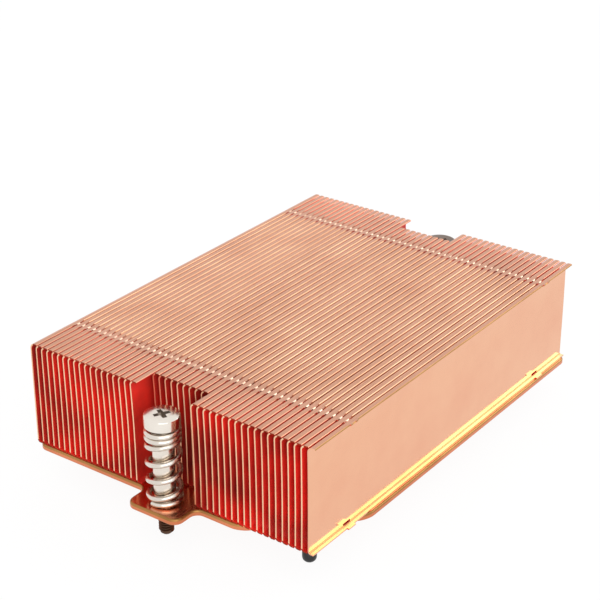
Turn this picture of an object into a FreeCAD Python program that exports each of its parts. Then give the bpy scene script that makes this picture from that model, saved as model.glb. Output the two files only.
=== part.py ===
"""Passive copper heatsink for a 1U server processor, as a parametric FreeCAD document.

47 stamped and folded copper fins stand side by side on a copper base plate. The plate has an ear
at the front and at the rear, and each ear holds a captive spring screw. Millimetres throughout.

Frame: the origin is the middle of the plate's underside, halfway between the two screws. +X runs
across the fins, +Y along them from the front ear to the rear ear, and +Z up from the processor.
"""
import FreeCAD, Part
import math
import os
import re
import Sketcher

Vector = FreeCAD.Vector
doc = FreeCAD.newDocument("ServerHeatsink")

# ---------------------------------------------------------------- driving dimensions
SIZES = [
    # the fin pack
    ("fin_pitch", 1.55, "from one fin's back to the next"),
    ("fin_sheet", 0.30, "copper strip that the fins are stamped from"),
    ("fin_rise", 23.9, "underside of the bottom flange to the top"),
    ("fin_setback", 1.37, "screw's middle to the fins' ends"),
    ("bend_radius", 0.65, "outside of the folds"),
    ("flange_gap", 0.25, "flange's edge to the next fin, between the two rows of tabs"),
    ("flange_gap_end", 0.43, "the same, from each row of tabs to the end of the fin"),
    ("row_inset", 12.6, "fin's end to the middle of the row of tabs"),
    ("tab_width", 2.2, "interlocking tab, along the fin"),
    ("tab_engage", 0.60, "how far a tab reaches into the next fin"),
    ("tab_side_play", 0.30, "tab to each side of its window"),
    ("tab_end_play", 0.35, "tab's end to the end of its window"),
    ("window_drop", 0.85, "the window's height down the fin"),
    ("low_tab_reach", 1.75, "last fin's back to the end of its lower tabs"),
    ("side_fins", 19, "full-length fins on each side of the notches"),
    ("notch_fins", 9, "shorter fins between them"),
    ("notch_clear", 6.57, "screw's middle to the shorter fins"),
    ("middle_fin", 1.20, "back of the middle fin to the screw line"),
    # the base plate
    ("plate_thick", 1.3, "rolled copper plate"),
    ("plate_proud", 0.3, "plate beyond the fins, front and rear"),
    ("plate_lap", 0.55, "plate beyond the last flange"),
    ("plate_inset", 0.25, "first fin's back to the plate's left edge"),
    ("plate_corner", 2.2, "plain corner radius"),
    ("corner_cut", 17.4, "front right corner, taken off along the front"),
    ("corner_side", 18.4, "and along the side"),
    ("corner_blend", 5.0, "radius where the cut meets the edges"),
    ("ear_left", 6.25, "screw line to the left side of an ear"),
    ("ear_right", 7.05, "screw line to its right side"),
    ("ear_margin", 5.13, "screw's middle to the ear's outer edge"),
    ("ear_corner", 2.2, "ear's outer corners"),
    ("ear_root", 1.8, "radius from the ear into the plate's edge"),
    ("edge_break", 0.2, "broken upper edge"),
    ("spot_dia", 7.4, "spotface under each ear, which takes the screw's ring"),
    ("spot_deep", 0.2, "the spotface's depth"),
    # the captive screws
    ("screw_spacing", 104.14, "4.1 inch between the two screws"),
    ("hole_play", 0.2, "shank to the plate, all round"),
    ("shank_dia", 4.6, "plain shank"),
    ("head_dia", 7.5, "cheese head"),
    ("head_tall", 2.5, "cheese head"),
    ("head_chamfer", 0.3, "round the head's top"),
    ("head_clear", 17.5, "plate's top to the underside of the head"),
    ("recess_span", 4.0, "cross recess, tip to tip"),
    ("recess_slot", 0.95, "cross recess, width of one arm"),
    ("recess_deep", 1.5, "cross recess"),
    ("thread_dia", 3.2, "over the thread's crests"),
    ("thread_below", 6.5, "plate's underside to the screw's tip"),
    ("tip_chamfer", 0.4, "lead-in at the tip"),
    # the retaining rings
    ("ring_gap", 0.10, "spotface to the ring"),
    ("ring_thick", 0.60, "retaining ring"),
    ("ring_dia", 6.6, "retaining ring, outside"),
    ("ring_mouth", 2.3, "opening that snaps over the groove"),
    ("groove_dia", 2.6, "bottom of the ring's groove"),
    ("groove_play", 0.05, "ring in its groove, on each side and on the radius"),
    # the springs
    ("spring_play", 0.4, "shank to the inside of the coils"),
    ("spring_wire", 1.15, "wire"),
    ("spring_pitch", 3.9, "from coil to coil where the spring is open"),
    ("closed_play", 0.04, "between the coils where the spring is closed"),
    ("closed_low", 1.0, "closed turns on the plate"),
    ("closed_high", 2.36, "closed turns under the head"),
    ("spring_start", 260.0, "degrees from +X to the lower end of the wire"),
    # the bumper
    ("bumper_dia", 2.9, "rubber bumper"),
    ("bumper_round", 1.1, "round of its lower edge"),
    ("bumper_drop", 2.6, "fins' underside to the bumper's lowest point"),
    ("bumper_side", 2.0, "last flange's edge to the bumper's middle"),
    ("bumper_inset", 1.55, "fins' front ends to the bumper's middle"),
]

# Round stretches that repeat many times are drawn with a few flats
FOLD_FLATS = 4
DOME_FLATS = 2
WIRE_FLATS = 6
FLATS_PER_COIL = 9

sheet = doc.addObject("Spreadsheet::Sheet", "Sizes")
for row, (alias, value, meaning) in enumerate(SIZES, start=1):
    sheet.set(f"A{row}", alias)
    sheet.set(f"B{row}", str(value))
    sheet.set(f"C{row}", meaning)
    sheet.setAlias(f"B{row}", alias)
doc.recompute()
ALIASES = {alias for alias, _, _ in SIZES}

# Places that several pieces share, as expressions of the sheet's aliases
PACK_HALF = "(side_fins + (notch_fins - 1) / 2) * fin_pitch"
PACK_LEFT = f"(0 - {PACK_HALF} - middle_fin)"
REACH = "(fin_pitch - flange_gap)"
REACH_END = "(fin_pitch - flange_gap_end)"
PACK_RIGHT = f"({PACK_HALF} - middle_fin + {REACH})"
FIN_END = "(screw_spacing / 2 - fin_setback)"
SHORT_END = "(screw_spacing / 2 - notch_clear)"
ROW = f"({FIN_END} - row_inset)"
TAB_END = "(fin_pitch + tab_engage)"
WINDOW_END = "(tab_engage + tab_end_play)"
WINDOW_HALF = "(tab_width / 2 + tab_side_play)"
PLATE_END = f"({FIN_END} + plate_proud)"
EAR_END = "(screw_spacing / 2 + ear_margin)"
PLATE_LEFT = f"({PACK_LEFT} + plate_inset)"
PLATE_RIGHT = f"({PACK_RIGHT} + plate_lap)"


def size(expression):
    """The value of an expression of aliases."""
    return float(sheet.evalExpression(expression))


def cells(expression):
    """The same expression as another object has to write it, with Sizes. before each alias."""
    return re.sub("[a-z_]+", lambda word: "Sizes." * (word[0] in ALIASES) + word[0], expression)


# ---------------------------------------------------------------- helpers
def new_body(name):
    body = doc.addObject("PartDesign::Body", name)
    body.Label = name
    return body


def bind(item, expressions):
    """Ties properties of item to the sheet."""
    for path, expression in expressions.items():
        item.setExpression(path, cells(expression))


def place(item, x="0", y="0", z="0"):
    bind(item, {"Placement.Base.x": x, "Placement.Base.y": y, "Placement.Base.z": z})


def plane_of(body, role):
    return next(item for item in body.Origin.OriginFeatures if item.Role == role)


def outline(body, name, role, corners):
    """A closed sketch on one of the body's planes. Each corner is a pair of expressions."""
    sketch = body.newObject("Sketcher::SketchObject", name)
    sketch.AttachmentSupport = [(plane_of(body, role), "")]
    sketch.MapMode = "FlatFace"
    points = [Vector(size(across), size(along), 0) for across, along in corners]
    count = len(points)
    for index, point in enumerate(points):
        sketch.addGeometry(Part.LineSegment(point, points[(index + 1) % count]), False)
    for index in range(count):
        sketch.addConstraint(Sketcher.Constraint("Coincident", index, 2, (index + 1) % count, 1))
    for index, corner in enumerate(corners):
        for kind, expression, value in zip(("DistanceX", "DistanceY"), corner, points[index]):
            name = f"{kind}_{index}"
            number = sketch.addConstraint(Sketcher.Constraint(kind, -1, 1, index, 1, value))
            sketch.renameConstraint(number, name)
            sketch.setExpression(f"Constraints.{name}", cells(expression))
    return sketch


def box(body, name, kind, low, high):
    """An additive or subtractive box between two corners."""
    item = body.newObject(f"PartDesign::{kind}Box", name)
    place(item, *low)
    for side, start, end in zip(("Length", "Width", "Height"), low, high):
        bind(item, {side: f"({end}) - ({start})"})
    return item


def cylinder(body, name, kind, radius, low_z, high_z, y="0"):
    """An additive or subtractive cylinder about an upright line."""
    item = body.newObject(f"PartDesign::{kind}Cylinder", name)
    place(item, y=y, z=low_z)
    bind(item, {"Radius": radius, "Height": f"({high_z}) - ({low_z})"})
    return item


def revolve(body, name, corners):
    """A solid turned about the body's own Z from a half outline."""
    turned = body.newObject("PartDesign::Revolution", name)
    turned.Profile = outline(body, f"{name}_half", "XZ_Plane", corners)
    turned.ReferenceAxis = (turned.Profile[0], ["V_Axis"])
    turned.Angle = 360
    return turned


def mirror(body, name, originals):
    """Repeats features on the other side of the body's XZ plane."""
    item = body.newObject("PartDesign::Mirrored", name)
    item.Originals = originals
    item.MirrorPlane = (plane_of(body, "XZ_Plane"), [""])
    body.Tip = item


def on_edges(body, name, kind, base, radius, test):
    """A fillet or chamfer on the edges of base whose middle point and direction pass a test."""
    doc.recompute()
    names = []
    for number, edge in enumerate(base.Shape.Edges, start=1):
        half_way = (edge.FirstParameter + edge.LastParameter) / 2
        if test(edge.valueAt(half_way), edge.tangentAt(half_way)):
            names.append(f"Edge{number}")
    item = body.newObject(f"PartDesign::{kind}", name)
    item.Base = (base, names)
    bind(item, {"Radius" if kind == "Fillet" else "Size": radius})
    return item


def quarter_round(radius, flats):
    """Corners round a quarter circle drawn with flats: pairs of the distances from its two tangents."""
    angles = [90 * step / flats for step in range(flats + 1)]
    return [(f"{radius} * (1 - sin({a} deg))", f"{radius} * (1 - cos({a} deg))") for a in angles]


# ---------------------------------------------------------------- one stamped fin
# A fin is a strip folded at the top and at the bottom towards +X, so it is drawn as a C and
# padded along Y. At two rows near its ends a tab on the top flange reaches through a window in the
# fold of the next fin, which locks the pack together before it is soldered to the plate.
def fin_profile(body):
    fold = quarter_round("bend_radius", FOLD_FLATS)
    top_fold = [(across, f"fin_rise - {down}") for across, down in fold]
    low_fold = fold[::-1]
    flanges = [
        (REACH, "0"),
        (REACH, "fin_sheet"),
        ("fin_sheet", "fin_sheet"),
        ("fin_sheet", "fin_rise - fin_sheet"),
        (REACH, "fin_rise - fin_sheet"),
        (REACH, "fin_rise"),
    ]
    return outline(body, f"{body.Name}_profile", "XZ_Plane", top_fold + low_fold + flanges)


def window(body, name, low_z, high_z):
    """Cuts the front row's window in a fold."""
    low = ("0 - fin_sheet", f"0 - {ROW} - {WINDOW_HALF}", low_z)
    high = (WINDOW_END, f"{WINDOW_HALF} - {ROW}", high_z)
    return box(body, name, "Subtractive", low, high)


def tab(body, name, end, low_z, high_z):
    """Adds the front row's tab to a flange."""
    low = (f"{REACH_END} - fin_sheet / 2", f"0 - {ROW} - tab_width / 2", low_z)
    high = (end, f"tab_width / 2 - {ROW}", high_z)
    return box(body, name, "Additive", low, high)


def fin_master(name, end):
    """A whole fin that reaches from -end to end, with the tabs and windows of its top fold."""
    body = new_body(name)
    strip = body.newObject("PartDesign::Pad", f"{name}_strip")
    strip.Profile = fin_profile(body)
    strip.Midplane = True
    bind(strip, {"Length": f"2 * {end}"})
    trimmed = box(
        body, f"{name}_trimmed_edge", "Subtractive",
        (REACH_END, f"0 - {FIN_END} - fin_sheet", "fin_rise - 2 * fin_sheet"),
        (f"{REACH} + fin_sheet", f"0 - {ROW}", "fin_rise + fin_sheet"))
    features = [
        trimmed,
        window(body, f"{name}_window", "fin_rise - window_drop", "fin_rise + fin_sheet"),
        tab(body, f"{name}_tab", TAB_END, "fin_rise - fin_sheet", "fin_rise"),
    ]
    mirror(body, f"{name}_other_end", features)
    return body


full_fin = fin_master("full_fin_pattern", FIN_END)
short_fin = fin_master("short_fin_pattern", SHORT_END)

# ---------------------------------------------------------------- the fins of the pack
# Inside the pack the lower flanges stay plain. The two outer fins show theirs, so they have the
# lower windows, and the last one has the lower tabs that no further fin takes.
side_count, notch_count = int(size("side_fins")), int(size("notch_fins"))
last = 2 * side_count + notch_count - 1
fins = []
for index in range(last + 1):
    name = f"fin_{index + 1:02d}"
    in_notch = side_count <= index < side_count + notch_count
    fin = new_body(name)
    fin.BaseFeature = short_fin if in_notch else full_fin
    doc.recompute([fin])
    lower = []
    if index in (0, last):
        lower.append(window(fin, f"{name}_low_window", "0 - fin_sheet", "window_drop"))
    if index == last:
        lower.append(tab(fin, f"{name}_low_tab", "low_tab_reach", "0", "fin_sheet"))
    if lower:
        mirror(fin, f"{name}_low_other_end", lower)
    place(fin, x=f"{index} * fin_pitch + {PACK_LEFT}", z="plate_thick")
    fins.append(fin)

# ---------------------------------------------------------------- base plate with its two ears
plate = new_body("base_plate")
blank = plate.newObject("PartDesign::Pad", "plate_blank")
blank.Profile = outline(plate, "plate_outline", "XY_Plane", [
    (PLATE_LEFT, f"0 - {PLATE_END}"),
    ("0 - ear_left", f"0 - {PLATE_END}"),
    ("0 - ear_left", f"0 - {EAR_END}"),
    ("ear_right", f"0 - {EAR_END}"),
    ("ear_right", f"0 - {PLATE_END}"),
    (f"{PLATE_RIGHT} - corner_cut", f"0 - {PLATE_END}"),
    (PLATE_RIGHT, f"corner_side - {PLATE_END}"),
    (PLATE_RIGHT, PLATE_END),
    ("ear_right", PLATE_END),
    ("ear_right", EAR_END),
    ("0 - ear_left", EAR_END),
    ("0 - ear_left", PLATE_END),
    (PLATE_LEFT, PLATE_END),
])
bind(blank, {"Length": "plate_thick"})

plate_left, plate_right = size(PLATE_LEFT), size(PLATE_RIGHT)
plate_end, ear_end = size(PLATE_END), size(EAR_END)
NEAR = 0.01


def upright_at(*places):
    """A test for upright edges that stand at one of some places. None stands for any value."""
    def test(middle, along):
        if abs(along.z) < 1 - NEAR:
            return False
        return any(
            all(want is None or abs(have - want) < NEAR for have, want in zip(middle, spot))
            for spot in places)
    return test


ear_corners = upright_at((None, ear_end), (None, -ear_end))
ear_sides = (-size("ear_left"), size("ear_right"))
ear_roots = upright_at(*[(x, y) for x in ear_sides for y in (-plate_end, plate_end)])
cut_start = (plate_right - size("corner_cut"), -plate_end)
cut_end = (plate_right, size("corner_side") - plate_end)
plain_corners = upright_at((plate_left, None), (plate_right, plate_end))
rounds = on_edges(plate, "ear_corners", "Fillet", blank, "ear_corner", ear_corners)
rounds = on_edges(plate, "ear_roots", "Fillet", rounds, "ear_root", ear_roots)
rounds = on_edges(plate, "cut_blends", "Fillet", rounds, "corner_blend", upright_at(cut_start, cut_end))
rounds = on_edges(plate, "plain_corners", "Fillet", rounds, "plate_corner", plain_corners)
rounds = on_edges(
    plate, "broken_edge", "Chamfer", rounds, "edge_break",
    lambda middle, along: abs(middle.z - size("plate_thick")) < NEAR)
for end, side in (("front", "0 -"), ("rear", "")):
    screw_line = f"{side} screw_spacing / 2"
    cylinder(
        plate, f"{end}_hole", "Subtractive", "shank_dia / 2 + hole_play",
        "0 - plate_thick", "2 * plate_thick", y=screw_line)
    cylinder(
        plate, f"{end}_spotface", "Subtractive", "spot_dia / 2",
        "0 - plate_thick", "spot_deep", y=screw_line)

# ---------------------------------------------------------------- captive screws
# Turned in one piece: cheese head, plain shank through the spring and the ear, a groove for the
# retaining ring just below the ear, and the threaded end. The ring lies partly in the spotface.
RING_TOP = "spot_deep - ring_gap"
RING_LOW = f"{RING_TOP} - ring_thick"
GROOVE_TOP = f"{RING_TOP} + groove_play"
GROOVE_LOW = f"{RING_LOW} - groove_play"
HEAD_LOW = "plate_thick + head_clear"
HEAD_TOP = "plate_thick + head_clear + head_tall"
TIP = "0 - thread_below"


def captive_screw(name, y):
    body = new_body(name)
    revolve(body, f"{name}_turned", [
        ("0", TIP),
        ("thread_dia / 2 - tip_chamfer", TIP),
        ("thread_dia / 2", f"{TIP} + tip_chamfer"),
        ("thread_dia / 2", GROOVE_LOW),
        ("groove_dia / 2", GROOVE_LOW),
        ("groove_dia / 2", GROOVE_TOP),
        ("shank_dia / 2", GROOVE_TOP),
        ("shank_dia / 2", HEAD_LOW),
        ("head_dia / 2", HEAD_LOW),
        ("head_dia / 2", f"{HEAD_TOP} - head_chamfer"),
        ("head_dia / 2 - head_chamfer", HEAD_TOP),
        ("0", HEAD_TOP),
    ])
    for arm, across, along in (("x", "recess_span", "recess_slot"), ("y", "recess_slot", "recess_span")):
        box(
            body, f"{name}_recess_{arm}", "Subtractive",
            (f"0 - {across} / 2", f"0 - {along} / 2", f"{HEAD_TOP} - recess_deep"),
            (f"{across} / 2", f"{along} / 2", f"{HEAD_TOP} + recess_deep"))
    place(body, y=y)
    return body


# ---------------------------------------------------------------- retaining rings
def retaining_ring(name, y):
    """A flat steel snap ring, pushed into the screw's groove from the side."""
    body = new_body(name)
    cylinder(body, f"{name}_disc", "Additive", "ring_dia / 2", RING_LOW, RING_TOP)
    cylinder(
        body, f"{name}_bore", "Subtractive", "groove_dia / 2 + groove_play",
        f"{RING_LOW} - ring_thick", f"{RING_TOP} + ring_thick")
    box(
        body, f"{name}_mouth", "Subtractive",
        ("0", "0 - ring_mouth / 2", f"{RING_LOW} - ring_thick"),
        ("ring_dia", "ring_mouth / 2", f"{RING_TOP} + ring_thick"))
    place(body, y=y)
    return body


# ---------------------------------------------------------------- springs
# Right-handed compression springs, closed where they sit on the plate and under the head. No
# constant pitch gives closed ends, so the wire's path is a formula and the spring is set as a shape.
def coil_height(turned, open_turns):
    """Height of the wire's middle above the plate after some turns."""
    closed_pitch = size("spring_wire + closed_play")
    first = min(turned, size("closed_low"))
    middle = min(max(turned - size("closed_low"), 0), open_turns)
    final = max(turned - size("closed_low") - open_turns, 0)
    return size("spring_wire / 2") + (first + final) * closed_pitch + middle * size("spring_pitch")


def facet(*corners):
    return Part.Face(Part.makePolygon([*corners, corners[0]]))


def wire_sections():
    """Outlines of the wire, one at each step up the coils, each square to the wire."""
    closed = size("(closed_low + closed_high) * (spring_wire + closed_play)")
    open_turns = (size("head_clear - spring_wire") - closed) / size("spring_pitch")
    turns = size("closed_low + closed_high") + open_turns
    radius = size("(shank_dia + spring_wire) / 2 + spring_play")
    count = round(turns * FLATS_PER_COIL)
    path = []
    for step in range(count + 1):
        turned = turns * step / count
        angle = math.radians(size("spring_start") + 360 * turned)
        outward = Vector(math.cos(angle), math.sin(angle), 0)
        path.append((outward, outward * radius + Vector(0, 0, coil_height(turned, open_turns))))
    sections = []
    for step, (outward, point) in enumerate(path):
        along = path[min(step + 1, count)][1] - path[max(step - 1, 0)][1]
        upward = along.cross(outward).normalize()
        section = []
        for side in range(WIRE_FLATS):
            angle = 2 * math.pi * (side + 0.5) / WIRE_FLATS
            offset = outward * math.cos(angle) + upward * math.sin(angle)
            section.append(point + offset * size("spring_wire / 2"))
        sections.append(section)
    return sections


def spring_shape():
    """The wire as a closed shell of flat facets from section to section."""
    sections = wire_sections()
    faces = [facet(*sections[0]), facet(*sections[-1])]
    for low, high in zip(sections, sections[1:]):
        for side in range(WIRE_FLATS):
            after = (side + 1) % WIRE_FLATS
            faces.append(facet(low[side], low[after], high[after]))
            faces.append(facet(low[side], high[after], high[side]))
    solid = Part.Solid(Part.Shell(faces))
    return solid if solid.Volume > 0 else solid.reversed()


def compression_spring(name, y):
    item = doc.addObject("Part::Feature", name)
    item.Label = name
    item.Shape = spring_shape()
    item.Placement = FreeCAD.Placement(Vector(0, size(y), size("plate_thick")), FreeCAD.Rotation())
    return item


# ---------------------------------------------------------------- corner bumper
def corner_bumper(name):
    """A rubber dome under the fins where the plate's corner is cut away."""
    body = new_body(name)
    corners = [("0", "0 - bumper_drop")]
    for across, up in quarter_round("bumper_round", DOME_FLATS):
        corners.append((f"bumper_dia / 2 - {across}", f"{up} - bumper_drop"))
    corners += [("bumper_dia / 2", "0"), ("0", "0")]
    revolve(body, f"{name}_moulding", corners)
    place(body, f"{PACK_RIGHT} - bumper_side", f"bumper_inset - {FIN_END}", "plate_thick")
    return body


hardware = []
for end, y in (("front", "0 - screw_spacing / 2"), ("rear", "screw_spacing / 2")):
    hardware.append(captive_screw(f"{end}_screw", y))
    hardware.append(retaining_ring(f"{end}_retaining_ring", y))
    hardware.append(compression_spring(f"{end}_spring", y))
hardware.append(corner_bumper("corner_bumper"))

# ---------------------------------------------------------------- checks and export
doc.recompute()
for item in doc.Objects:
    if {"Invalid", "Error"} & set(item.State):
        raise RuntimeError(f"{item.Name} failed: {item.State}")

sub_parts = fins + [plate] + hardware
os.makedirs("parts", exist_ok=True)
for part in sub_parts:
    shape = part.Shape
    if shape.isNull() or not shape.isValid() or len(shape.Solids) != 1:
        raise RuntimeError(f"{part.Label} is not one valid solid")
for part in sub_parts:
    part.Shape.exportStep(f"parts/{part.Label}.step")
copper = sum(part.Shape.Volume for part in fins + [plate])
print(f"{len(sub_parts)} sub-parts, copper volume {copper / 1000:.2f} cm3")
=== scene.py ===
# %% [markdown]
# # A passive copper heatsink for a flat server
#
# Forty-seven thin copper fins stand side by side on a copper plate, and two captive spring screws
# hold the plate down on a processor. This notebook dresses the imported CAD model: each cell models
# one kind of piece or mixes one finish, and says how the real one is made.
#
# Every length is in metres, as the CAD frame has it, and `MM` turns millimetres into metres.

# %% Load the frame
import bmesh
import bpy
import math
import random
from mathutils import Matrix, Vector


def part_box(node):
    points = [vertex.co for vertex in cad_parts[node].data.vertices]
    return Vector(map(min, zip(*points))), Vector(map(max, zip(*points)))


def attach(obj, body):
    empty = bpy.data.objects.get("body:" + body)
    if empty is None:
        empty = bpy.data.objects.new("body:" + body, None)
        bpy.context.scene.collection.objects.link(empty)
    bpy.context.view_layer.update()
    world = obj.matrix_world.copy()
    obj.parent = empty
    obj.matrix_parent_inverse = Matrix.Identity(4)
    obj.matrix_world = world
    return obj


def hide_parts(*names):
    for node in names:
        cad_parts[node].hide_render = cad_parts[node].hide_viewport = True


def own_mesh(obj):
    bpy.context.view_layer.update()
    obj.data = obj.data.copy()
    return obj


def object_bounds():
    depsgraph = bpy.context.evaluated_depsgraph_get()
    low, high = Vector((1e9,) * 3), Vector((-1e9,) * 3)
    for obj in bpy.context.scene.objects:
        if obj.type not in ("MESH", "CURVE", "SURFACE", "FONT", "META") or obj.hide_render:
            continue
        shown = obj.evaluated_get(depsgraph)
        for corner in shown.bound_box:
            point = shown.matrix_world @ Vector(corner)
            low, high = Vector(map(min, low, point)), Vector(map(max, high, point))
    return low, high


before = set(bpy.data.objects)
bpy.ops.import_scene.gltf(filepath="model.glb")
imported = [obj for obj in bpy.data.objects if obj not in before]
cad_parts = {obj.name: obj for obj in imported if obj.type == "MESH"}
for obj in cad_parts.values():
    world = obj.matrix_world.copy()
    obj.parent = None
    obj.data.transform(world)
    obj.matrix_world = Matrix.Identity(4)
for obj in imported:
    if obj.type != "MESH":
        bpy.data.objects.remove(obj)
cad_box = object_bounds()
MM = 0.001
print("CAD box in mm:", [[round(c / MM, 2) for c in corner] for corner in cad_box])

# %% [markdown]
# ## Camera
#
# The heatsink is looked at from its front right corner, from above. A long lens keeps the parallel
# fins nearly parallel in the picture. The camera is placed by three numbers that are easy to think
# in, its azimuth, its elevation and its distance, and then turned back towards the target.

# %% Camera
target = Vector((-6.53, 3.14, 22.55)) * MM
azimuth, elevation, distance = math.radians(36.02), math.radians(25.93), 365.8 * MM
back = Vector((
    math.sin(azimuth) * math.cos(elevation),
    -math.cos(azimuth) * math.cos(elevation),
    math.sin(elevation),
))
bpy.ops.object.camera_add(location=target + back * distance)
camera = bpy.context.object
camera.name = "camera"
camera.rotation_mode = "QUATERNION"
camera.rotation_quaternion = back.to_track_quat("Z", "Y")
camera.data.lens, camera.data.sensor_width = 98.45, 36
camera.data.clip_start, camera.data.clip_end = 0.01, 20
bpy.context.scene.camera = camera
bpy.context.scene.view_settings.view_transform = "Standard"
print("camera at", [round(c / MM, 1) for c in camera.location], "mm")

# %% [markdown]
# ## Two helpers for materials
#
# A colour is easiest to read as the hex code that a paint program shows, but a shader works with
# linear light, so `linear` turns one into the other. `add_node` puts any node into a material,
# sets its sockets and joins its inputs, so that a material below reads as a list of what feeds
# what.

# %% Helpers: colour and node
def linear(code):
    """An sRGB hex code such as "#C87533" as linear RGBA."""
    parts = [int(code[i:i + 2], 16) / 255 for i in (1, 3, 5)]
    return [c / 12.92 if c <= 0.04045 else ((c + 0.055) / 1.055) ** 2.4 for c in parts] + [1.0]


def add_node(tree, kind, settings=None, **sockets):
    """Adds a node. settings are the node's own options, sockets are values or other nodes' outputs."""
    node = tree.nodes.new("ShaderNode" + kind)
    for name, value in (settings or {}).items():
        setattr(node, name, value)
    for name, value in sockets.items():
        key = int(name[1:]) if name[0] == "n" and name[1:].isdigit() else name.replace("_", " ")
        socket = node.inputs[key]
        if isinstance(value, bpy.types.NodeSocket):
            tree.links.new(value, socket)
        else:
            socket.default_value = linear(value) if isinstance(value, str) else value
    return node


def new_material(name):
    material = bpy.data.materials.new(name)
    material.use_nodes = True
    material.node_tree.nodes.clear()
    return material, material.node_tree


print("a copper brown in linear light:", [round(c, 3) for c in linear("#C87533")])

# %% [markdown]
# ## Copper
#
# The fins and the plate are oxygen-free copper strip, rolled bright. A metal has no colour of its
# own under the gloss: it tints what it reflects. One reflection of a white room is peach, and light
# that bounces to and fro between two fins is tinted again each time, so the gaps of the real pack
# glow deep red. A render follows only a few bounces, so the walls inside the gaps are painted the
# colour of copper after three of them, as a painted reflection. The flat tops of the flanges are
# painted a darker tan than the open faces, as painted shade for the dimmer light that they reflect.
#
# Rolling leaves fine lines along the strip, and handling leaves a faint uneven film of oxide that
# dulls it in clouds. Where the die has sheared the strip, the edge is matt. The web's cut ends and
# the flange's edge between the rows of tabs are painted pale, as a painted highlight, and the other
# cut ends are painted dark red, as painted shade. The tips of the tabs are painted pale, as a
# painted glint. The last fin's foot is painted straw, as a painted reflection of the lamp, with an
# orange line painted along its fold. The open edge of that fin and the plate's rim, which the punch
# has rolled over, are painted brownish, as a painted dark reflection.

# %% Material: copper strip, in its states and its painted light and shade
CLOUD_SIZE = 14 * MM


def metal(name, clean, film, most_film, gloss, line_run, lift=0.06, bare=1.0):
    """Rolled or turned metal, from its clean colour to the colour of the film on it. most_film is how
    far the film covers it, gloss the roughness of its brightest and dullest line, line_run the lines'
    scale along X, Y and Z, lift the height of the lines, and bare how metallic the surface is."""
    material, tree = new_material(name)
    place = add_node(tree, "TexCoord").outputs["Object"]
    clouds = add_node(tree, "TexNoise", Vector=place, Scale=1 / CLOUD_SIZE, Detail=3.0, Roughness=0.55)
    stretched = add_node(tree, "Mapping", {"vector_type": "POINT"}, Vector=place, Scale=line_run)
    lines = add_node(tree, "TexNoise", Vector=stretched.outputs[0], Scale=1.0, Detail=2.0)
    cover = add_node(tree, "MapRange", n0=clouds.outputs[0], n1=0.38, n2=0.72, n3=0.0, n4=most_film)
    tint = add_node(tree, "Mix", {"data_type": "RGBA"}, n0=cover.outputs[0], n6=clean, n7=film)
    sheen = add_node(tree, "MapRange", n0=lines.outputs[0], n1=0.3, n2=0.7, n3=gloss[0], n4=gloss[1])
    dulled = add_node(
        tree, "Math", {"operation": "MULTIPLY_ADD"}, n0=cover.outputs[0], n1=0.10, n2=sheen.outputs[0])
    bumps = add_node(tree, "Bump", Strength=lift, Distance=0.02 * MM, Height=lines.outputs[0])
    shader = add_node(
        tree, "BsdfPrincipled", Base_Color=tint.outputs[2], Metallic=bare,
        Roughness=dulled.outputs[0], Normal=bumps.outputs[0])
    add_node(tree, "OutputMaterial", Surface=shader.outputs[0])
    return material


LINE, LINE_LENGTH = 0.4 * MM, 30 * MM
ALONG_Y = (1 / LINE, 1 / LINE_LENGTH, 1 / LINE)
# The flange's tan, darker than the open faces' peach, is painted shade.
flange_copper = metal("rolled_copper_flange", "#D69E82", "#C08C72", 0.4, (0.22, 0.34), ALONG_Y)
# The walls are painted deep red and partly matt: a painted reflection of light bounced between the fins.
wall_copper = metal("rolled_copper_wall", "#FC382C", "#96261F", 0.9, (0.40, 0.55), ALONG_Y, bare=0.35)
face_copper = metal("rolled_copper_face", "#F0B693", "#EAA887", 0.6, (0.10, 0.16), ALONG_Y, lift=0.03)
# The sheared edges are painted pale: a painted highlight.
edge_highlight_copper = metal("sheared_copper_painted_highlight", "#FFD6B0", "#EEB48E", 0.8, (0.35, 0.50), ALONG_Y)
# The tab tips are painted pale: a painted glint.
tongue_glint_copper = metal("copper_tab_tip_painted_glint", "#F8D2B8", "#EEC2A4", 0.6, (0.25, 0.35), ALONG_Y)
# The fins' cut ends are painted dark red: painted shade.
end_shade_copper = metal("sheared_copper_painted_shade", "#B04026", "#702818", 0.9, (0.45, 0.60), ALONG_Y)
# The foot is painted pale straw: a painted reflection of the lamp.
foot_highlight_copper = metal("copper_foot_painted_highlight", "#FFEEB4", "#FFE2A4", 0.8, (0.18, 0.28), ALONG_Y)
# The orange line in the foot's fold is painted: a painted reflection.
fold_reflection_copper = metal("copper_fold_painted_reflection", "#DC9860", "#CC8854", 0.8, (0.25, 0.35), ALONG_Y)
# The rolled-over rims are painted brownish: a painted dark reflection.
rim_reflection_copper = metal("copper_rim_painted_reflection", "#B68650", "#946A3C", 0.8, (0.30, 0.42), ALONG_Y)
print(wall_copper.name, "and the eight others have", len(wall_copper.node_tree.nodes), "nodes each")

# %% [markdown]
# ## Modelling by hand, in code
#
# A piece is shaped in edit mode: some of it is selected, and an operator such as extrude, bevel or
# bisect acts on the selection. With no mouse, the selection is made by place instead. `pick` takes
# a test of the middle of each face, edge or point, in millimetres.

# %% Helpers: start a piece, pick in it, cut it, finish it
def only(*pieces):
    """Selects these objects and nothing else."""
    bpy.ops.object.select_all(action="DESELECT")
    for piece in pieces:
        piece.select_set(True)
    bpy.context.view_layer.objects.active = pieces[0]
    return pieces[0]


def start(name):
    """Names the primitive that was just added and opens it for editing."""
    piece = bpy.context.object
    piece.name = piece.data.name = name
    only(piece)
    bpy.ops.object.transform_apply(location=True, rotation=True, scale=True)
    bpy.ops.object.mode_set(mode="EDIT")
    return piece


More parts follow.
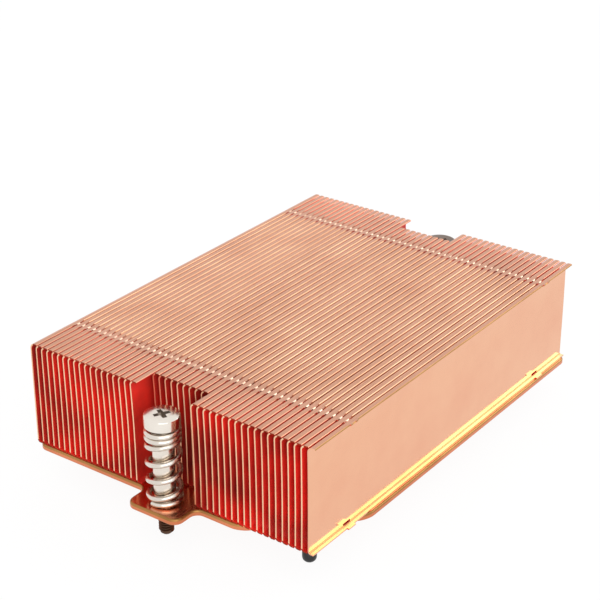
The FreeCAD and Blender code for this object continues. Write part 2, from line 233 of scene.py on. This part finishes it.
def pick(kind, test):
    """Selects the VERT, EDGE or FACE items of the piece in edit mode whose middle passes the test,
    and returns how many they are."""
    bpy.ops.mesh.select_mode(type=kind)
    bpy.ops.mesh.select_all(action="DESELECT")
    mesh = bmesh.from_edit_mesh(bpy.context.object.data)
    found = 0
    for item in {"VERT": mesh.verts, "EDGE": mesh.edges, "FACE": mesh.faces}[kind]:
        points = [item.co] if kind == "VERT" else [v.co for v in item.verts]
        if test(sum(points, Vector()) / len(points) / MM):
            item.select_set(True)
            found += 1
    mesh.select_flush_mode()
    bmesh.update_edit_mesh(bpy.context.object.data)
    return found


def cut(point, normal):
    """Cuts the whole piece in edit mode along a plane, through a point in millimetres."""
    bpy.ops.mesh.select_all(action="SELECT")
    bpy.ops.mesh.bisect(plane_co=Vector(point) * MM, plane_no=normal)


def pull(x=0, y=0, z=0):
    """Extrudes the selection and moves it, in millimetres."""
    bpy.ops.mesh.extrude_region_move(TRANSFORM_OT_translate={"value": (x * MM, y * MM, z * MM)})


def finish(piece, sharp=40, **modifiers):
    """Leaves edit mode, applies the modifiers in order and shades the piece smooth by angle."""
    if bpy.context.mode != "OBJECT":
        bpy.ops.object.mode_set(mode="OBJECT")
    only(piece)
    for kind, settings in modifiers.items():
        modifier = piece.modifiers.new(kind, kind.rstrip("_"))
        for key, value in settings.items():
            setattr(modifier, key, value)
        bpy.ops.object.modifier_apply(modifier=modifier.name)
    bpy.ops.object.shade_smooth_by_angle(angle=math.radians(sharp))


def paint(piece, material, test=None):
    """Adds a material to the piece, on all of it or on the faces whose middle and normal pass."""
    piece.data.materials.append(material)
    piece.active_material_index = len(piece.data.materials) - 1
    if test is not None:
        for face in piece.data.polygons:
            if test(face.center / MM, face.normal):
                face.material_index = piece.active_material_index


def dress(piece, body, slot, *nodes):
    """Gives a finished piece its CAD body, and hides the CAD nodes that it stands for. The slot is not
    used.
    """
    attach(piece, body)
    if nodes:
        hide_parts(*nodes)
    return piece


# %% [markdown]
# ## One stamped fin
#
# The real fin is a strip of 0.3 mm copper, pierced by a progressive die and folded along both long
# sides, so that its section is a C. It could be drawn as a solid, but sheet metal is easier as what
# it is: an upright sheet with two flanges pulled out of its edges, rounded at the folds, and given
# its thickness at the end.
#
# The upper fold is wide, and the upper flange is longer than the pitch. It comes to lie beside the
# next fin's fold, so hardly a gap shows from above. The lower fold is tight.
#
# Two rows of tabs lock the pack. Each tab lies over a window, which is pierced through the fold of
# the next fin. The tongue in the middle of the tab dips into the window, and its little slope
# catches the light; its tip is also painted pale, as a painted glint. The foot has plain tabs and
# windows in the same two rows.

# %% Sizes of a fin, in mm
PITCH, SHEET = 1.55, 0.30
FOLD, LOW_FOLD = 1.2, 0.65  # outside radius of the folds
REACH, LOW_REACH = 1.84, 1.30  # web's left side to a flange's edge
EDGE_ROUND, BURR_BREAK = 0.19, 0.03  # a flange's sheared edge, and every other sharp edge
TAB_HALF, WINDOW_HALF, TONGUE_HALF = 1.8, 1.2, 0.55  # half their lengths, along the fin
WINDOW_DROP = 0.85  # a window's height down the web
TAB_STEP, TAB_LAP = 0.03, 0.20  # a tab beyond its flange, and then beside its tongue
LOW_TAB_REACH = 1.75  # web's left side to a foot tab's edge
TONGUE_STEPS = ((0.08, -0.02, 0.95), (0.09, -0.08, 0.85), (0.07, -0.12, 0.8))  # out, up, width
low, high = (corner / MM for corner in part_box("fin_10"))
END, BOTTOM, TOP = high.y, low.z, high.z
ROW = END - 12.6  # middle of a row of tabs
WEB_CUTS = (4, 9, 14, 19)  # heights that give the web points to bow at
print(f"fin: {2 * END:.1f} long, {TOP - BOTTOM:.1f} tall, tab rows at +-{ROW:.1f} mm")

# %% Fold the strip
bpy.ops.mesh.primitive_plane_add(size=1, rotation=(0, -math.pi / 2, 0))
fin = start("fin_pattern")
bpy.ops.transform.resize(value=(1, 2 * END * MM, (TOP - BOTTOM) * MM))
bpy.ops.transform.translate(value=(0, 0, (TOP + BOTTOM) / 2 * MM))
pick("EDGE", lambda p: p.z > TOP - 0.1)
pull(x=REACH)
pick("EDGE", lambda p: p.z < BOTTOM + 0.1)
pull(x=LOW_REACH)
for height, radius, steps in ((TOP, FOLD, 7), (BOTTOM, LOW_FOLD, 5)):
    pick("EDGE", lambda p: abs(p.x) < 0.01 and abs(p.z - height) < 0.01 and abs(p.y) < 1)
    bpy.ops.mesh.bevel(offset=radius * MM, segments=steps, affect="EDGES")
for side in (-1, 1):
    for half in (TAB_HALF, WINDOW_HALF, TONGUE_HALF):
        cut((0, side * ROW + half, 0), (0, 1, 0))
        cut((0, side * ROW - half, 0), (0, 1, 0))
for height in (WINDOW_DROP, *WEB_CUTS, TOP - BOTTOM - WINDOW_DROP):
    cut((0, 0, BOTTOM + height), (0, 0, 1))
print("folded strip:", pick("FACE", lambda p: True), "faces")

# %% Pierce the windows and pull the tabs
def in_row(p, half):
    """Whether a point is within some mm of the middle of either row of tabs, along the fin."""
    return abs(abs(p.y) - ROW) < half


def at_tab_edge(p):
    """Whether a point lies on the free edge of an upper tab, before the tab is shaped."""
    return abs(p.x - REACH - TAB_STEP) < 0.01 and p.z > TOP - 0.1


for face_test in (
        lambda p: in_row(p, WINDOW_HALF) and p.z > TOP - WINDOW_DROP and p.x < FOLD / 2,
        lambda p: in_row(p, WINDOW_HALF) and p.z < BOTTOM + WINDOW_DROP and p.x < LOW_FOLD / 2):
    pick("FACE", face_test)
    bpy.ops.mesh.delete(type="FACE")
pick("EDGE", lambda p: p.x > REACH - 0.01 and p.z > TOP - 0.1 and in_row(p, TAB_HALF - 0.1))
pull(x=TAB_STEP)
pick("EDGE", lambda p: at_tab_edge(p) and in_row(p, WINDOW_HALF - 0.1) and not in_row(p, TONGUE_HALF))
pull(x=TAB_LAP)
for side in (-1, 1):
    pick("EDGE", lambda p: at_tab_edge(p) and abs(p.y - side * ROW) < TONGUE_HALF - 0.1)
    for out, up, width in TONGUE_STEPS:
        pull(x=out, z=up)
        bpy.ops.transform.resize(value=(1, width, 1), center_override=(0, side * ROW * MM, 0))
pick("EDGE", lambda p: p.x > LOW_REACH - 0.01 and p.z < BOTTOM + 0.1 and in_row(p, WINDOW_HALF - 0.1))
pull(x=LOW_TAB_REACH - LOW_REACH)
finish(fin, SOLIDIFY={"thickness": SHEET * MM, "offset": -1, "use_even_offset": True})
print("stamped strip:", len(fin.data.polygons), "faces, now that it is", SHEET, "mm thick")

# %% Round the flange's outer edge, as the shear leaves it
bpy.ops.object.mode_set(mode="EDIT")
pick("EDGE", lambda p: abs(p.z - TOP) < 0.01 and abs(p.x - REACH) < 0.01 and not in_row(p, TAB_HALF))
bpy.ops.mesh.bevel(offset=EDGE_ROUND * MM, segments=3, affect="EDGES")
finish(fin, BEVEL={
    "width": BURR_BREAK * MM, "segments": 1, "limit_method": "ANGLE", "angle_limit": math.radians(50)})
print("one fin:", len(fin.data.polygons), "faces, box", [round(d / MM, 2) for d in fin.dimensions])

# %% Paint the fin
def on_flange(p, n):
    """The outer side of a flange and its fold."""
    return (n.z > 0.25 and p.z > TOP - FOLD) or (n.z < -0.25 and p.z < BOTTOM + LOW_FOLD)


def on_flange_edge(p, n):
    """The right-hand edge of the upper flange or of its tabs."""
    return n.x > 0.3 and p.z > TOP - SHEET - 0.01


def at_end(p, n):
    """The cut at the fin's front or rear end."""
    return abs(n.y) > 0.6 and abs(p.y) > ROW + 3


def highlight_edge_place(p, n):
    """The web's cut at the fin's ends, and the flange's edge between the two rows of tabs, which get a
    painted highlight.
    """
    web_end = at_end(p, n) and p.x < 0.8 and p.z > BOTTOM + 0.6
    return web_end or (on_flange_edge(p, n) and p.x > REACH - 0.2 and abs(p.y) < 1)


# The whole fin starts with the walls' painted red reflection.
paint(fin, wall_copper)
# The flanges and their folds take the tan painted shade.
paint(fin, flange_copper, lambda p, n: on_flange(p, n) or (on_flange_edge(p, n) and in_row(p, TAB_HALF)))
# Painted shade on the cut ends.
paint(fin, end_shade_copper, at_end)
# Painted highlight: the sheared edges are painted pale.
paint(fin, edge_highlight_copper, highlight_edge_place)
# Painted glint on the tongues' tips.
paint(fin, tongue_glint_copper, lambda p, n: n.z > 0.1 and p.x > REACH + 0.05 and in_row(p, TONGUE_HALF))
print("painted with", fin.data.materials.keys())

# %% [markdown]
# ## The pack
#
# Nine fins in the middle are shorter, which leaves the notches for the two screws. They are the
# same stamping with both ends trimmed, so the pattern's ends are simply pushed in.
#
# No pack is perfectly straight. Its fins bow a little to the left towards their tops, by half a
# millimetre a third of the way along. Each copy also gets a slow wave of a few hundredths of a
# millimetre, so the gaps are not all alike. A Displace modifier with a cloud texture makes the wave,
# and each fin reads another part of the clouds.
#
# The outer faces of the first and last fin are open to the room, so they are plain rolled copper.

# %% Copy the fin and trim the copy
def copy_of(pattern, name):
    """A second piece with a mesh of its own."""
    only(pattern)
    bpy.ops.object.duplicate(linked=False)
    piece = bpy.context.object
    piece.name = piece.data.name = name
    return only(piece)


short_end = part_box("fin_24")[1].y / MM
fin_short = copy_of(fin, "fin_short_pattern")
bpy.ops.object.mode_set(mode="EDIT")
for side in (-1, 1):
    pick("VERT", lambda p: side * p.y > ROW + 2)
    bpy.ops.transform.translate(value=(0, side * (short_end - END) * MM, 0))
bpy.ops.object.mode_set(mode="OBJECT")
print(f"short fin: {2 * short_end:.1f} long")

# %% Bow and place the fins
BOW_FROM, MOST_BOW = 8, 0.57  # height at which the bow starts, and how far the top stands out
COUNT, SHORT_FINS = 47, range(19, 28)


def bow_at(index):
    """How far the top of a fin stands to the left, in mm: none at first, then soon the most."""
    return min(0.047 * index, MOST_BOW, 0.79 - 0.0128 * index)


def bow(piece, most):
    """Curves the upper part of a fin to the left, by most mm at its top."""
    for point in piece.data.vertices:
        share = max(point.co.z / MM - BOW_FROM, 0) / (TOP - BOW_FROM)
        point.co.x -= most * share ** 2 * MM


waves = bpy.data.textures.new("strip_waves", "CLOUDS")
waves.noise_scale = 22 * MM
wave_height = 0.10 * MM
wave_place = bpy.data.objects.new("wave_place", None)
bpy.context.scene.collection.objects.link(wave_place)
rng = random.Random(7)
first_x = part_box("fin_01")[0].x
for index in range(COUNT):
    node = f"fin_{index + 1:02d}"
    piece = copy_of(fin_short if index in SHORT_FINS else fin, f"{node}_strip")
    bpy.ops.transform.translate(value=(first_x + index * PITCH * MM, 0, 0))
    bpy.ops.object.transform_apply(location=True)
    bow(piece, bow_at(index))
    wave_place.location = (rng.uniform(-1, 1), rng.uniform(-1, 1), rng.uniform(-1, 1))
    bpy.context.view_layer.update()
    finish(piece, DISPLACE={
        "texture": waves, "texture_coords": "OBJECT", "texture_coords_object": wave_place,
        "direction": "X", "mid_level": 0.5, "strength": wave_height})
    dress(piece, "heatsink", "copper_fins", node)
for pattern in (fin, fin_short, wave_place):
    bpy.data.objects.remove(pattern)
print(COUNT, "fins copied,", len(SHORT_FINS), "of them short")

# %% Paint the two open faces of the pack, and the last fin's foot
first_fin, last_fin = (bpy.data.objects[f"fin_{number:02d}_strip"] for number in (1, COUNT))
paint(first_fin, face_copper, lambda p, n: n.x < -0.3 and p.x < first_x / MM + SHEET / 2)
paint(last_fin, face_copper, lambda p, n: n.x > 0.1 or at_end(p, n))
# Painted dark reflection on the last fin's open edge.
paint(last_fin, rim_reflection_copper, on_flange_edge)
# Painted reflection: the foot's upper side is painted pale straw.
paint(last_fin, foot_highlight_copper, lambda p, n: n.z > 0.1 and p.z < BOTTOM + 1)
# Painted reflection: an orange line along the foot's fold.
paint(last_fin, fold_reflection_copper, lambda p, n: 0.4 < n.z < 0.95 and p.z < BOTTOM + 1)
print("painted", first_fin.name, "and", last_fin.name)

# %% [markdown]
# ## The base plate
#
# The plate is blanked from 1.3 mm copper: a rectangle with an ear at the front and at the rear, and
# one corner cut away. The punch rolls the upper edge over and leaves it round. It is modelled as a
# flat face first, because a flat outline is easy to cut and to round, and it gets its thickness
# last. A box with everything cut out of it would need far more cuts. The rims are rounded before
# the holes are drilled, while they are still the only edges. The blanked side is matt, and the
# flat face keeps the gloss of the rolls.

# %% Outline of the plate
def outer_box(name):
    """A CAD node's six limits, in mm."""
    (x0, y0, z0), (x1, y1, z1) = (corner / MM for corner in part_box(name))
    return x0, y0, z0, x1, y1, z1


left, ear_front, _, right, ear_rear, plate_top = outer_box("base_plate")
EDGE = END + 0.3  # front and rear edges, a little beyond the fins
EAR_SIDES = (-6.25, 7.05)
CUT_FRONT, CUT_SIDE = 17.4, 18.4  # how much the cut takes off the front and off the side
CORNER, EAR_ROOT, CUT_BLEND = 2.2, 1.8, 5.0
ROLL_OVER, BURR_SIDE = 0.44, 0.2  # upper and lower rim
SCREW_Y = (-52.07, 52.07)
HOLE, SPOTFACE, SPOT_DEPTH = 2.5, 3.7, 0.2  # two radii, and how deep the wider one goes
bpy.ops.mesh.primitive_plane_add(size=1)
plate = start("base_plate_blank")
bpy.ops.transform.resize(value=((right - left) * MM, 2 * EDGE * MM, 1))
bpy.ops.transform.translate(value=((right + left) / 2 * MM, 0, plate_top * MM))
for x in EAR_SIDES:
    cut((x, 0, 0), (1, 0, 0))
for side, ear_end in ((-1, ear_front), (1, ear_rear)):
    pick("EDGE", lambda p: side * p.y > EDGE - 0.1 and abs(p.x) < 6)
    pull(y=ear_end - side * EDGE)
bpy.ops.mesh.select_all(action="SELECT")
bpy.ops.mesh.bisect(
    plane_co=Vector((right, CUT_SIDE - EDGE, 0)) * MM, plane_no=(CUT_SIDE, -CUT_FRONT, 0), clear_outer=True)
bpy.ops.mesh.select_all(action="SELECT")
bpy.ops.mesh.dissolve_limited(angle_limit=0.01)
print("plate outline:", pick("VERT", lambda p: True), "corners")

# %% Round its corners and give it thickness
def near(a, b):
    """Whether two lengths agree to 0.2 mm."""
    return abs(a - b) < 0.2


def at_ear(p, y):
    """Whether a point lies on a side of an ear, y mm from the middle of the plate."""
    return any(near(p.x, x) for x in EAR_SIDES) and near(abs(p.y), y)


def round_corners(radius, turns_by, test):
    """Rounds corners of a flat outline that turn by some degrees, with one radius."""
    pick("VERT", test)
    offset = radius * math.tan(math.radians(turns_by / 2)) * MM
    bpy.ops.mesh.bevel(offset=offset, offset_type="OFFSET", segments=8, affect="VERTICES")


round_corners(CORNER, 90, lambda p: at_ear(p, ear_rear))
round_corners(EAR_ROOT, 90, lambda p: at_ear(p, EDGE))
round_corners(CUT_BLEND, 45, lambda p: p.y < 0 and p.x > 10 and (near(p.x, right) or near(p.y, -EDGE)))
round_corners(CORNER, 90, lambda p: near(p.x, left) or (p.x > 10 and near(p.y, EDGE)))
finish(plate, SOLIDIFY={"thickness": plate_top * MM, "offset": -1})
bpy.ops.object.mode_set(mode="EDIT")
for height, radius, steps in ((plate_top, ROLL_OVER, 6), (0, BURR_SIDE, 3)):
    pick("EDGE", lambda p: abs(p.z - height) < 0.01)
    bpy.ops.mesh.bevel(offset=radius * MM, segments=steps, affect="EDGES")
bpy.ops.object.mode_set(mode="OBJECT")
print("plate before drilling:", len(plate.data.polygons), "faces")

# %% [markdown]
# A turned shape, such as a stepped drill or a screw, grows from a disc: extrude it, move it and
# change its width, once for each step of its outline. A Boolean modifier then takes the drill's
# shape out of the plate.

# %% Helpers: turn a piece, bore with it
def turned(name, steps, x=0, y=0, flats=64):
    """A solid about an upright line at x, y, from (radius, height) pairs in mm, from the bottom up."""
    (radius, low), *rest = steps
    bpy.ops.mesh.primitive_circle_add(
        vertices=flats, radius=radius * MM, fill_type="NGON", location=(x * MM, y * MM, low * MM))
    piece = start(name)
    bpy.ops.mesh.select_all(action="SELECT")
    for wide, high in rest:
        pull(z=high - low)
        bpy.ops.transform.resize(
            value=(wide / radius, wide / radius, 1), center_override=(x * MM, y * MM, 0))
        radius, low = wide, high
    bpy.ops.mesh.select_all(action="SELECT")
    bpy.ops.mesh.normals_make_consistent(inside=False)
    return piece


def bore(piece, cutter):
    """Cuts the cutter's shape out of a piece and throws the cutter away."""
    bpy.ops.object.mode_set(mode="OBJECT")
    finish(piece, BOOLEAN={"operation": "DIFFERENCE", "object": cutter, "solver": "EXACT"})
    bpy.data.objects.remove(cutter)

# %% Drill and paint the plate
plate_side_copper = metal("blanked_copper_side", "#E28A62", "#C06E48", 0.7, (0.24, 0.38), ALONG_Y)
plate_copper = metal("rolled_copper_plate", "#F2A988", "#D99877", 0.8, (0.14, 0.22), ALONG_Y)
drill = [(SPOTFACE, -2), (SPOTFACE, SPOT_DEPTH), (HOLE, SPOT_DEPTH), (HOLE, 4)]
for y in SCREW_Y:
    bore(plate, turned("stepped_drill", drill, y=y))
finish(plate, sharp=35)
paint(plate, plate_copper)
paint(plate, plate_side_copper, lambda p, n: abs(n.z) < 0.95)
# Painted dark reflection on the plate's rounded upper rim.
paint(plate, rim_reflection_copper, lambda p, n: 0.12 < n.z < 0.995 and p.z > plate_top - ROLL_OVER)
dress(plate, "heatsink", "copper_plate", "base_plate")
print("plate:", len(plate.data.polygons), "faces")

# %% [markdown]
# ## Captive screws
#
# The screw is turned from steel bar and plated with nickel. Above the ear it has a plain shank as
# thick as the spring allows, and below the ear a groove for the retaining ring, then the thread.
# The cross recess is punched, so its arms taper down to a point, and its faces are painted dark as
# painted shade. The threaded end is painted dark brown, as painted shade and a painted reflection of
# the copper above it. The rear head's top is painted darker and duller than the front one's.
#
# A bent or threaded shape is a section that is pushed round an axis a little at a time. The thread
# is a ridge swept round the core in this way, and the same helper coils the springs. It starts and
# ends as a sharp step, as a die leaves it.

# %% Materials: nickel plate, dull nickel, and painted shade on the threaded end and recess
ROUND_Z = (1 / (3 * MM), 1 / (3 * MM), 1 / (0.12 * MM))
nickel = metal("nickel_plated_steel", "#EFE8DE", "#DDD0C2", 0.7, (0.12, 0.20), ROUND_Z, lift=0.04)
# The threaded end is painted dark brown: painted shade and a painted reflection of the copper above.
thread_shade_steel = metal("threaded_steel_painted_shade", "#6A5040", "#3C2A20", 0.9, (0.30, 0.42), ROUND_Z)
# The recess is painted darker: painted shade.
recess_shade_steel = metal("punched_recess_painted_shade", "#B0A498", "#8A7E72", 0.8, (0.35, 0.50), ROUND_Z)
dull_nickel = metal("nickel_plated_steel_dull", "#8E7E74", "#72645A", 0.8, (0.30, 0.45), ROUND_Z)
print("screw finishes:", [m.name for m in (nickel, thread_shade_steel, recess_shade_steel, dull_nickel)])

# %% Helpers: turn the selection, and sweep it
def turn(degrees, x, y):
    """Turns the selection about an upright line, anticlockwise from above."""
    bpy.ops.transform.rotate(
        value=-math.radians(degrees), orient_axis="Z", center_override=(x * MM, y * MM, 0))


def swept(x, y, rises, degrees):
    """Pushes the selected section round an upright line, by some degrees and a rise for each step."""
    for rise in rises:
        pull(z=rise)
        turn(degrees, x, y)
    bpy.ops.mesh.select_all(action="SELECT")
    bpy.ops.mesh.normals_make_consistent(inside=False)

# %% Outline of a screw, and the punch of its recess
SHANK, SHANK_LOW = 2.3, 0.15  # its radius and its lower end
HEAD, HEAD_LOW, HEAD_TOP = 3.75, 18.8, 21.3  # its radius and heights
THREAD_LOW, THREAD_HIGH = -6.5, -0.55
CORE, CREST, THREAD_PITCH = 1.32, 1.6, 0.6  # two radii, and from ridge to ridge
SCREW_OUTLINE = [  # radius and height, from the bottom up
    (CORE - 0.45, THREAD_LOW), (CORE - 0.02, THREAD_LOW + 0.4), (CORE, THREAD_LOW + 0.5), (CORE, SHANK_LOW),
    (SHANK - 0.15, SHANK_LOW), (SHANK, SHANK_LOW + 0.15), (SHANK, HEAD_LOW),
    (HEAD - 0.13, HEAD_LOW), (HEAD, HEAD_LOW + 0.13), (HEAD, HEAD_TOP - 0.32),
    (HEAD - 0.05, HEAD_TOP - 0.16), (HEAD - 0.17, HEAD_TOP - 0.05), (HEAD - 0.33, HEAD_TOP)]


def cross_punch(y, half=0.55, arm=1.2, point=0.8, turned_by=62):
    """The punch of the cross recess: a block with four tapering arms and a point."""
    bpy.ops.mesh.primitive_cube_add(size=2 * half * MM, location=(0, y * MM, (HEAD_TOP - 0.2) * MM))
    punch = start("cross_punch")
    for x_way, y_way in ((1, 0), (-1, 0), (0, 1), (0, -1)):
        pick("FACE", lambda p: (p.xy - Vector((half * x_way, y + half * y_way))).length < 0.1)
        pull(x=arm * x_way, y=arm * y_way)
        bpy.ops.transform.resize(value=(1 - 0.15 * abs(y_way), 1 - 0.15 * abs(x_way), 1))
    pick("FACE", lambda p: p.z < HEAD_TOP - 0.6)
    pull(z=-point)
    bpy.ops.transform.resize(value=(0.3, 0.3, 1), center_override=(0, y * MM, 0))
    bpy.ops.mesh.select_all(action="SELECT")
    turn(turned_by, 0, y)
    bpy.ops.mesh.normals_make_consistent(inside=False)
    return punch


print(f"screw: {HEAD_TOP - THREAD_LOW:.1f} long, head {2 * HEAD:.1f} and shank {2 * SHANK:.1f} wide")

# %% Turn the screws and sweep their threads
def screw(end, y):
    """The turned body of a captive screw, with its recess."""
    body = turned(f"{end}_screw_turned", SCREW_OUTLINE, y=y)
    bpy.ops.object.mode_set(mode="OBJECT")
    bore(body, cross_punch(y))
    finish(body, sharp=30)
    paint(body, nickel)
    # Painted shade and copper reflection on the threaded end.
    paint(body, thread_shade_steel, lambda p, n: p.z < SHANK_LOW - 0.05)
    # The rear head's top is painted darker and duller.
    if end == "rear":
        paint(body, dull_nickel, lambda p, n: n.z > 0.2 and p.z > HEAD_TOP - 0.4)
    # Painted shade in the cross recess.
    paint(body, recess_shade_steel, lambda p, n: (
        HEAD_LOW + 0.1 < p.z < HEAD_TOP - 0.05 and abs(p.x) < 2.2 and abs(p.y - y) < 2.2))
    return dress(body, f"{end}_screw_body", "nickel_steel", f"{end}_screw")


def thread(end, y, steps_a_turn=24, depth=0.3):
    """The ridge of a screw's thread."""
    turns = (THREAD_HIGH - THREAD_LOW - 2 * THREAD_PITCH) / THREAD_PITCH
    bpy.ops.mesh.primitive_circle_add(
        vertices=3, radius=depth * MM, fill_type="NGON", rotation=(math.pi / 2, math.pi / 2, 0),
        location=((CREST - depth) * MM, y * MM, (THREAD_LOW + 0.7) * MM))
    ridge = start(f"{end}_screw_thread")
    bpy.ops.mesh.select_all(action="SELECT")
    swept(0, y, [THREAD_PITCH / steps_a_turn] * round(turns * steps_a_turn), 360 / steps_a_turn)
    finish(ridge, sharp=35)
    # Painted shade and copper reflection on the thread's ridge.
    paint(ridge, thread_shade_steel)
    return dress(ridge, f"{end}_screw_body", "nickel_steel")


for end, y in zip(("front", "rear"), SCREW_Y):
    body = screw(end, y)
    ridge = thread(end, y)
print("each screw:", len(body.data.polygons), "faces, and its thread", len(ridge.data.polygons))

# %% [markdown]
# ## Springs
#
# Each spring is coiled from 1.15 mm wire, closed where it sits on the plate and under the head. The
# section is a circle, pushed round by ten degrees at a time, and it rises faster where the coils
# are open.

# %% Coil the springs
WIRE, COIL = 1.15, 3.275  # thickness of the wire, and radius to its middle
TURNS_LOW, TURNS_HIGH = 1.0, 2.36  # closed turns at each end
OPEN, CLOSED = 3.9, 1.19  # from coil to coil
SPRING_START = 260  # degrees from +X
open_turns = (HEAD_LOW - plate_top - WIRE - (TURNS_LOW + TURNS_HIGH) * CLOSED) / OPEN
total_turns = TURNS_LOW + open_turns + TURNS_HIGH
spring_steel = metal("spring_steel_wire", "#E6DED4", "#C9BDB0", 0.6, (0.16, 0.24), ROUND_Z, lift=0.03)


def wire_height(turned_by):
    """Height of the wire's middle above the plate after some turns."""
    low_part = min(turned_by, TURNS_LOW)
    high_part = max(turned_by - TURNS_LOW - open_turns, 0)
    return WIRE / 2 + (low_part + high_part) * CLOSED + (turned_by - low_part - high_part) * OPEN


def spring(end, y):
    """A coiled spring, from the plate up to its screw's head."""
    count = round(total_turns * 36)
    heights = [wire_height(total_turns * step / count) for step in range(count + 1)]
    bpy.ops.mesh.primitive_circle_add(
        vertices=16, radius=WIRE / 2 * MM, fill_type="NGON", rotation=(math.pi / 2, 0, 0),
        location=(COIL * MM, y * MM, (plate_top + heights[0]) * MM))
    piece = start(f"{end}_spring_wire")
    bpy.ops.mesh.select_all(action="SELECT")
    turn(SPRING_START, 0, y)
    rises = [above - below for below, above in zip(heights, heights[1:])]
    swept(0, y, rises, 360 * total_turns / count)
    finish(piece, sharp=60)
    paint(piece, spring_steel)
    dress(piece, "heatsink", "spring_steel", f"{end}_spring")
    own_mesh(piece)
    return piece


for end, y in zip(("front", "rear"), SCREW_Y):
    piece = spring(end, y)
print(f"springs: {total_turns:.2f} turns,", len(piece.data.polygons), "faces each")

# %% [markdown]
# ## Retaining rings and the bumper
#
# A flat steel ring snaps into the groove from the side and keeps the screw in its ear. The rubber
# bumper under the cut-away corner fills the space where the fins have no plate below them.

# %% Snap the rings on
RING_IN, RING_OUT, RING_THICK, RING_MIDDLE = 1.35, 3.3, 0.6, -0.2  # two radii, and heights
MOUTH = 60  # degrees that the ring is open by, about +X
ring_steel = metal("ring_steel_phosphated", "#8E8A86", "#6E6862", 0.8, (0.32, 0.42), ROUND_Z)
for end, y in zip(("front", "rear"), SCREW_Y):
    bpy.ops.mesh.primitive_plane_add(
        size=1, rotation=(math.pi / 2, 0, 0),
        location=((RING_IN + RING_OUT) / 2 * MM, y * MM, RING_MIDDLE * MM))
    ring = start(f"{end}_snap_ring")
    bpy.ops.transform.resize(value=((RING_OUT - RING_IN) * MM, 1, RING_THICK * MM))
    bpy.ops.mesh.select_all(action="SELECT")
    turn(MOUTH / 2, 0, y)
    swept(0, y, [0] * 50, (360 - MOUTH) / 50)
    finish(ring, sharp=50, BEVEL={
        "width": 0.06 * MM, "segments": 2, "limit_method": "ANGLE", "angle_limit": math.radians(50)})
    paint(ring, ring_steel)
    dress(ring, f"{end}_ring", "ring_steel", f"{end}_retaining_ring")
print("rings:", len(ring.data.polygons), "faces each")

# %% Mould the bumper
bumper_x, bumper_y, bumper_low = 33.75, -49.15, -1.3
BUMPER, DOME = 1.45, 1.1  # its radius, and the radius of its lower edge
dome = []
for degrees in range(0, 91, 10):
    angle = math.radians(degrees)
    dome.append((BUMPER - DOME + DOME * math.sin(angle), bumper_low + DOME - DOME * math.cos(angle)))
rim = [(BUMPER, plate_top - 0.05), (BUMPER - 0.05, plate_top)]
bumper = turned("corner_bumper_rubber", dome + rim, bumper_x, bumper_y, 48)
finish(bumper, sharp=60)
rubber, tree = new_material("black_rubber")
place = add_node(tree, "TexCoord").outputs["Object"]
grains = add_node(tree, "TexNoise", Vector=place, Scale=1 / (0.12 * MM), Detail=2.0)
bumps = add_node(tree, "Bump", Strength=0.15, Distance=0.02 * MM, Height=grains.outputs[0])
shader = add_node(tree, "BsdfPrincipled", Base_Color="#0E0C0B", Roughness=0.35, Normal=bumps.outputs[0])
add_node(tree, "OutputMaterial", Surface=shader.outputs[0])
paint(bumper, rubber)
dress(bumper, "heatsink", "black_rubber", "corner_bumper")
print("bumper:", len(bumper.data.polygons), "faces")

# %% [markdown]
# ## Floor, sky and lamps
#
# Bright metal shows its surroundings more than itself, so the room is most of the look: a plain
# white sky and floor. The floor is white to the eye and in reflections, and keeps a trace of the
# object's shadow. A broad lamp at the front right lights the walls inside the gaps, and a smaller
# one behind right puts the light on the side and on the folds.

# %% Floor
floor_z = cad_box[0].z - 0.3 * MM
bpy.ops.mesh.primitive_plane_add(size=4, location=(0, 0, floor_z))
floor = bpy.context.object
floor.name = "floor"
paper, tree = new_material("white_paper")
ray = add_node(tree, "LightPath").outputs
larger = {"operation": "MAXIMUM"}
seen = add_node(tree, "Math", larger, n0=ray["Is Camera Ray"], n1=ray["Is Glossy Ray"])
seen = add_node(tree, "Math", larger, n0=seen.outputs[0], n1=ray["Is Transmission Ray"])
share = add_node(tree, "Math", {"operation": "MULTIPLY"}, n0=seen.outputs[0], n1=0.92)
matt = add_node(tree, "BsdfDiffuse", Color="#FFFFFF")
white = add_node(tree, "Emission", Color="#FFFFFF", Strength=1.0)
both = add_node(tree, "MixShader", n0=share.outputs[0], n1=matt.outputs[0], n2=white.outputs[0])
add_node(tree, "OutputMaterial", Surface=both.outputs[0])
floor.data.materials.append(paper)
print(f"floor at {floor_z / MM:.1f} mm")

# %% Sky and lamps
world = bpy.data.worlds.new("studio")
world.use_nodes = True
world.node_tree.nodes.clear()
sky = add_node(world.node_tree, "Background", Color="#FFFFFF", Strength=1.0)
add_node(world.node_tree, "OutputWorld", Surface=sky.outputs[0])
bpy.context.scene.world = world


def soft_lamp(name, place, aim, width, power):
    """A square soft light, placed and aimed in millimetres."""
    place, aim = Vector(place) * MM, Vector(aim) * MM
    bpy.ops.object.light_add(type="AREA", location=place)
    lamp = bpy.context.object
    lamp.name = name
    lamp.rotation_mode = "QUATERNION"
    lamp.rotation_quaternion = (place - aim).to_track_quat("Z", "Y")
    lamp.data.size, lamp.data.energy = width * MM, power


soft_lamp("lamp_behind_right", (350, 509, 322), (0, 0, 12), 350, 0.9)
soft_lamp("lamp_front", (480, -500, 200), (0, 0, 12), 700, 3.0)
